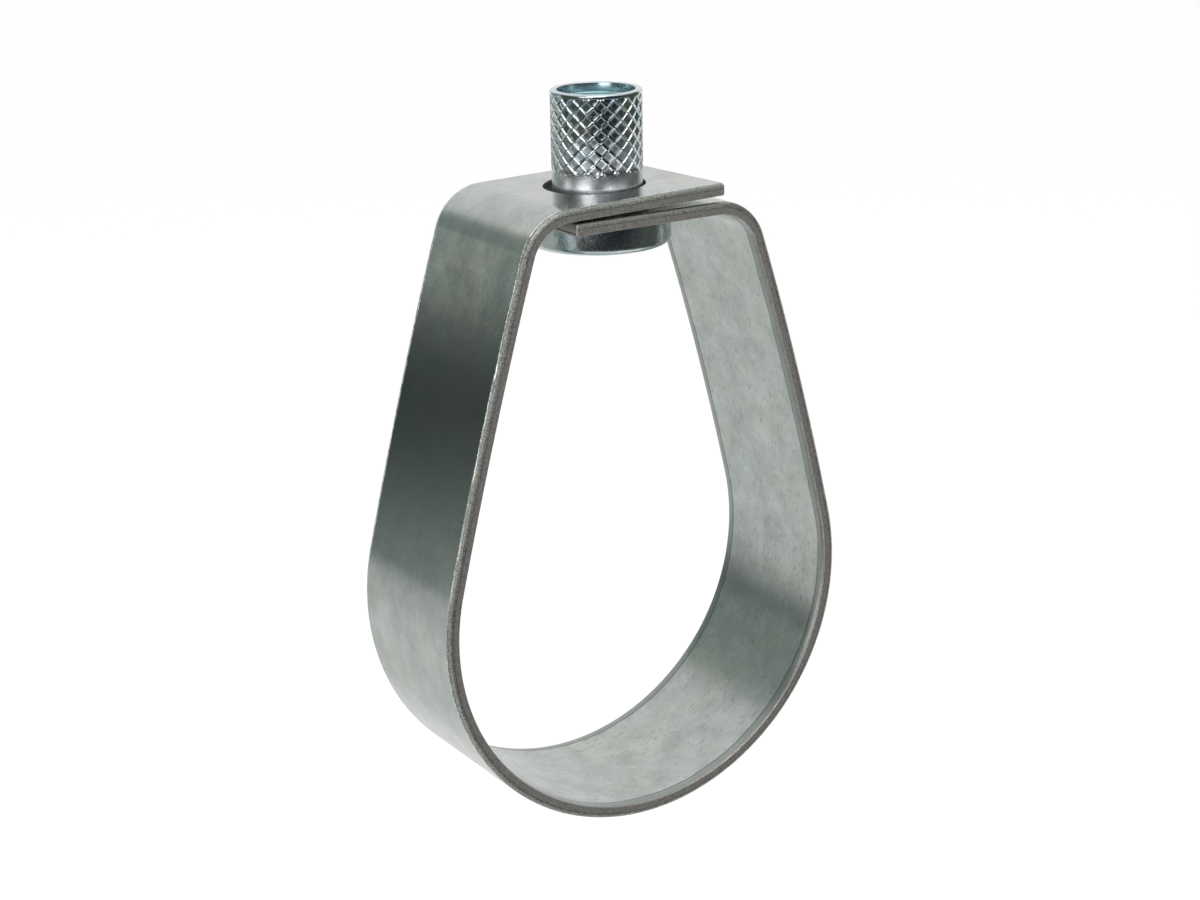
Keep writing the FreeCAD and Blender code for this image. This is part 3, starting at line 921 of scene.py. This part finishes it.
world = bpy.data.worlds.new("soft_studio")
bpy.context.scene.world = world
world.use_nodes = True
tree = world.node_tree
tree.nodes.clear()
ray = add(tree, "ShaderNodeLightPath")
direction = add(tree, "ShaderNodeTexCoord").outputs["Generated"]
part = add(tree, "ShaderNodeSeparateXYZ", {0: direction})
to_right = part.outputs["X"]
to_top = part.outputs["Z"]
forward = {0: direction, 1: to_camera_side}
forward = add(tree, "ShaderNodeVectorMath", forward, operation="DOT_PRODUCT").outputs["Value"]

# The walls' colours from low to high, all raised towards the far left
slope = add(tree, "ShaderNodeMapRange", {0: to_right, 1: -0.83, 2: -0.53, 3: -0.27, 4: 0.0})
level = add(tree, "ShaderNodeMath", {0: to_top, 1: slope}, operation="ADD")
level = add(tree, "ShaderNodeMapRange", {0: level, 1: -1.0, 2: 1.0, 3: 0.0, 4: 1.0})
walls = add(tree, "ShaderNodeValToRGB", {0: level})
stops = walls.color_ramp.elements
while len(stops) < len(room_heights):
    stops.new(0.5)
for stop, (rise, shade) in zip(stops, room_heights):
    stop.position = (rise + 1) / 2
    stop.color = hex_colour(shade)

# The grey patch on the left, and the light right side
patch = add(tree, "ShaderNodeMapRange", {0: to_right, 1: -0.40, 2: -0.28, 3: 0.95, 4: 0.0})
patch_low = add(tree, "ShaderNodeMapRange", {0: to_top, 1: 0.07, 2: 0.13, 3: 0.0, 4: 1.0})
patch_high = add(tree, "ShaderNodeMapRange", {0: to_top, 1: 0.62, 2: 0.70, 3: 1.0, 4: 0.0})
patch = add(tree, "ShaderNodeMath", {0: patch, 1: patch_low}, operation="MULTIPLY")
patch = add(tree, "ShaderNodeMath", {0: patch, 1: patch_high}, operation="MULTIPLY")
walls = {0: patch, 6: walls, 7: hex_colour("8A9692")}
walls = add(tree, "ShaderNodeMix", walls, data_type="RGBA")
right_side = {0: to_right, 1: -0.2, 2: 0.15, 3: 0.0, 4: 1.0}
right_side = add(tree, "ShaderNodeMapRange", right_side, interpolation_type="SMOOTHSTEP")
walls = {0: right_side, 6: walls.outputs[2], 7: hex_colour("F0F0F0")}
walls = add(tree, "ShaderNodeMix", walls, data_type="RGBA")

# The dark near side, darkest round the camera, and which rays see what
front = add(tree, "ShaderNodeMapRange", {0: forward, 1: -0.46, 2: -0.38, 3: 0.0, 4: 1.0})
front_low = add(tree, "ShaderNodeMapRange", {0: to_top, 1: -0.78, 2: -0.55, 3: 0.0, 4: 1.0})
front_high = add(tree, "ShaderNodeMapRange", {0: to_top, 1: 0.35, 2: 0.75, 3: 1.0, 4: 0.0})
front = add(tree, "ShaderNodeMath", {0: front, 1: front_low}, operation="MULTIPLY")
front = add(tree, "ShaderNodeMath", {0: front, 1: front_high}, operation="MULTIPLY")
middle = add(tree, "ShaderNodeMapRange", {0: forward, 1: 0.5, 2: 0.9, 3: 0.0, 4: 1.0})
shade = {0: middle, 6: hex_colour("4A4E47"), 7: hex_colour("202329")}
shade = add(tree, "ShaderNodeMix", shade, data_type="RGBA")
seen = {0: front, 6: walls.outputs[2], 7: shade.outputs[2]}
seen = add(tree, "ShaderNodeMix", seen, data_type="RGBA")
room = {0: ray.outputs["Is Glossy Ray"], 6: fill_light, 7: seen.outputs[2]}
room = add(tree, "ShaderNodeMix", room, data_type="RGBA")
whole = {0: ray.outputs["Is Camera Ray"], 6: room.outputs[2], 7: white}
whole = add(tree, "ShaderNodeMix", whole, data_type="RGBA")
shine = add(tree, "ShaderNodeBackground", {"Color": whole.outputs[2], "Strength": 1.0})
add(tree, "ShaderNodeOutputWorld", {"Surface": shine})

# Lamps. Two soft boxes light everything from above. The others light one piece each, as flags in a
# studio would have it: the band's faces and cut edges, from its sides and below, and the lower knurl.
# Each has its azimuth and elevation in degrees, its width and height in metres, and its watts.
lamp_distance = 1.1
only_band = bpy.data.collections.new("lit_with_the_band")
only_band.objects.link(band)
only_nut = bpy.data.collections.new("lit_with_the_nut")
only_nut.objects.link(nut)
for name, azimuth, elevation, wide, tall, watts, receivers in (
    ("overhead_softbox", 10.0, 80.0, 0.8, 0.8, 1.4, None),
    ("front_softbox", -30.0, 45.0, 0.7, 0.5, 3.6, None),
    ("left_softbox", -68.0, 11.0, 0.70, 0.26, 1.9, only_band),
    ("right_softbox", -2.0, 11.0, 0.18, 0.26, 0.45, only_band),
    ("far_left_softbox", -104.0, 11.0, 0.45, 0.26, 0.4, only_band),
    ("low_front_softbox", 12.0, 11.0, 1.3, 0.24, 1.5, only_band),
    ("edge_strip_light", -116.0, 5.0, 0.22, 1.1, 1.5, only_band),
    ("low_left_softbox", -58.0, 12.0, 0.6, 0.2, 1.5, only_nut),
    ("left_rim_light", -58.0, -32.0, 0.9, 1.1, 3.0, only_band),
    ("right_rim_light", 84.0, -26.0, 0.9, 1.1, 3.0, only_band),
):
    turn, tilt = math.radians(azimuth), math.radians(elevation)
    lamp_data = bpy.data.lights.new(name, "AREA")
    lamp_data.shape = "RECTANGLE"
    lamp_data.size = wide
    lamp_data.size_y = tall
    lamp_data.energy = watts
    lamp = bpy.data.objects.new(name, lamp_data)
    bpy.context.scene.collection.objects.link(lamp)
    if receivers:
        lamp.light_linking.receiver_collection = receivers
    away = Vector((math.sin(turn) * math.cos(tilt), -math.cos(turn) * math.cos(tilt), math.sin(tilt)))
    lamp.location = away * lamp_distance
    lamp.rotation_euler = away.to_track_quat("Z", "Y").to_euler()

# Camera. A long lens a little above the part and to its left, fitted to the photograph: its turn,
# tilt and roll in degrees, and where it stands in millimetres to its own right, up and back.
turn, tilt, roll = math.radians(-32.3835), math.radians(17.7118), math.radians(-1.0231)
stand_right, stand_up, stand_back = -0.7933 * MM, 22.5059 * MM, 418.3472 * MM
back = Vector((math.sin(turn) * math.cos(tilt), -math.cos(turn) * math.cos(tilt), math.sin(tilt)))
level_right = Vector((math.cos(turn), math.sin(turn), 0))
level_up = back.cross(level_right)
right = level_right * math.cos(roll) + level_up * math.sin(roll)
up = level_up * math.cos(roll) - level_right * math.sin(roll)
camera_data = bpy.data.cameras.new("camera")
camera_data.lens = 70.4236
camera_data.sensor_width = 36.0
camera_data.sensor_fit = "HORIZONTAL"
camera_data.clip_start = 0.01
camera_data.clip_end = 50.0
camera = bpy.data.objects.new("camera", camera_data)
bpy.context.scene.collection.objects.link(camera)
stand = right * stand_right + up * stand_up + back * stand_back
camera.matrix_world = Matrix.Translation(stand) @ Matrix((right, up, back)).transposed().to_4x4()
bpy.context.scene.camera = camera
bpy.context.scene.view_settings.view_transform = "Standard"
